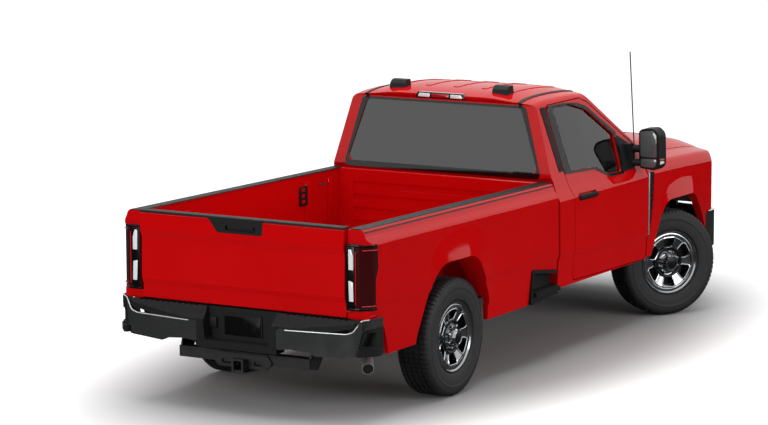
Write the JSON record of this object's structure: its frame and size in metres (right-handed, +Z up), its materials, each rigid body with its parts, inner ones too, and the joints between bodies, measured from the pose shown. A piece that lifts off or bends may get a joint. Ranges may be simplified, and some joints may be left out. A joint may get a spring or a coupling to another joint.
{
  "type": "pickup truck",
  "caption": "Full-size pickup truck with a regular cab and a long open bed; doors, hood, tailgate, steering and wheels move.",
  "frame": {"origin": "on the ground, midway between the bumper faces, on the centre line", "axes": "+X forward, +Y to the truck's left, +Z up"},
  "size_m": [5.888, 2.3568, 2.1104],
  "materials": {
    "paint": "gloss bright red",
    "chassis_paint": "satin black",
    "cast_metal": "rough grey",
    "steel": "dull",
    "bright_metal": "bright",
    "rim_metal": "polished",
    "black_plastic": "fine grain black",
    "tank_plastic": "matte",
    "dash_plastic": "soft grain",
    "seat_cloth": "woven dark grey",
    "tyre": "matte black",
    "lamp_glass": "clear",
    "tail_lamp": "smoked red",
    "clear_glass": "lightly tinted",
    "dark_glass": "privacy tint"
  },
  "bodies": {
    "chassis": {"frame_rails": "chassis_paint", "crossmembers": "chassis_paint", "powertrain": "cast_metal", "driveshafts": "chassis_paint", "exhaust": "steel", "fuel_tank": "tank_plastic", "front_axle": "chassis_paint", "rear_axle": "chassis_paint", "suspension": "chassis_paint", "hitch": "chassis_paint", "rear_bumper": "bright_metal", "rear_bumper_pads": "black_plastic", "front_bumper": "bright_metal", "grille": "black_plastic", "headlamps": "lamp_glass", "tail_lamps": "tail_lamp", "cab_shell": "paint", "windscreen": "clear_glass", "rear_window": "dark_glass", "bench_seat": "seat_cloth", "dashboard": "dash_plastic", "cab_trim": "black_plastic", "cowl_trim": "black_plastic", "front_fenders": "paint", "fender_vents": "black_plastic", "engine_bay": "black_plastic", "bedsides": "paint", "bed_box": "paint", "bed_trim": "black_plastic", "spare_tyre": "tyre", "spare_rim": "rim_metal"},
    "hood": {"hood": "paint"},
    "tailgate": {"tailgate": "paint", "tailgate_trim": "black_plastic"},
    "fuel_door": {"fuel_door": "paint"},
    "steering_wheel": {"steering_wheel": "dash_plastic"},
    "tie_rod": {"tie_rod": "chassis_paint"},
    "door_left": {"door_left": "paint", "door_glass_left": "clear_glass", "mirror_left": "black_plastic"},
    "knuckle_left": {"knuckle_left": "cast_metal"},
    "wheel_front_left": {"tyre_front_left": "tyre", "rim_front_left": "rim_metal"},
    "wheel_rear_left": {"tyre_rear_left": "tyre", "rim_rear_left": "rim_metal"},
    "door_right": {"door_right": "paint", "door_glass_right": "clear_glass", "mirror_right": "black_plastic"},
    "knuckle_right": {"knuckle_right": "cast_metal"},
    "wheel_front_right": {"tyre_front_right": "tyre", "rim_front_right": "rim_metal"},
    "wheel_rear_right": {"tyre_rear_right": "tyre", "rim_rear_right": "rim_metal"}
  },
  "joints": [
    {"name": "steer_left", "type": "hinge", "parent": "chassis", "child": "knuckle_left", "pos_m": [1.987, 0.83, 0.421], "axis": [0, 0, 1], "range_deg": [-2, 66]},
    {"name": "wheel_front_left_spin", "type": "hinge", "parent": "knuckle_left", "child": "wheel_front_left", "pos_m": [2.00926, 0.86562, 0.421], "axis": [0.5299, 0.848, 0], "continuous": true},
    {"name": "wheel_rear_left_spin", "type": "hinge", "parent": "chassis", "child": "wheel_rear_left", "pos_m": [-1.61, 0.85, 0.421], "axis": [0, 1, 0], "continuous": true},
    {"name": "door_left_hinge", "type": "hinge", "parent": "chassis", "child": "door_left", "pos_m": [1.4215, 0.9975, 0.95], "axis": [0, 0, -1], "range_deg": [0, 65]},
    {"name": "steer_right", "type": "hinge", "parent": "chassis", "child": "knuckle_right", "pos_m": [1.987, -0.83, 0.421], "axis": [0, 0, 1], "range_deg": [-2, 66]},
    {"name": "wheel_front_right_spin", "type": "hinge", "parent": "knuckle_right", "child": "wheel_front_right", "pos_m": [1.96474, -0.86562, 0.421], "axis": [0.5299, 0.848, 0], "continuous": true},
    {"name": "wheel_rear_right_spin", "type": "hinge", "parent": "chassis", "child": "wheel_rear_right", "pos_m": [-1.61, -0.85, 0.421], "axis": [0, 1, 0], "continuous": true},
    {"name": "door_right_hinge", "type": "hinge", "parent": "chassis", "child": "door_right", "pos_m": [1.4215, -0.9975, 0.95], "axis": [0, 0, 1], "range_deg": [0, 65]},
    {"name": "tie_rod_pivot", "type": "hinge", "parent": "knuckle_left", "child": "tie_rod", "pos_m": [2.0718, 0.77701, 0.321], "axis": [0, 0, 1], "range_deg": [-66, 2]},
    {"name": "steering_wheel_turn", "type": "hinge", "parent": "chassis", "child": "steering_wheel", "pos_m": [0.996, 0.4, 1.203], "axis": [-0.892, 0, 0.452], "range_deg": [-34, 1122]},
    {"name": "hood_hinge", "type": "hinge", "parent": "chassis", "child": "hood", "pos_m": [1.822, 0, 1.33], "axis": [0, -1, 0], "range_deg": [0, 50]},
    {"name": "tailgate_hinge", "type": "hinge", "parent": "chassis", "child": "tailgate", "pos_m": [-2.835, 0, 0.793], "axis": [0, -1, 0], "range_deg": [0, 90]},
    {"name": "fuel_door_hinge", "type": "hinge", "parent": "chassis", "child": "fuel_door", "pos_m": [-0.378, 1.001, 1.08], "axis": [0, 0, -1], "range_deg": [0, 80]}
  ],
  "couplings": [
    {"joint": "steer_right", "follows": "steer_left", "ratio": 1},
    {"joint": "tie_rod_pivot", "follows": "steer_left", "ratio": -1},
    {"joint": "steering_wheel_turn", "follows": "steer_left", "ratio": 17}
  ]
}
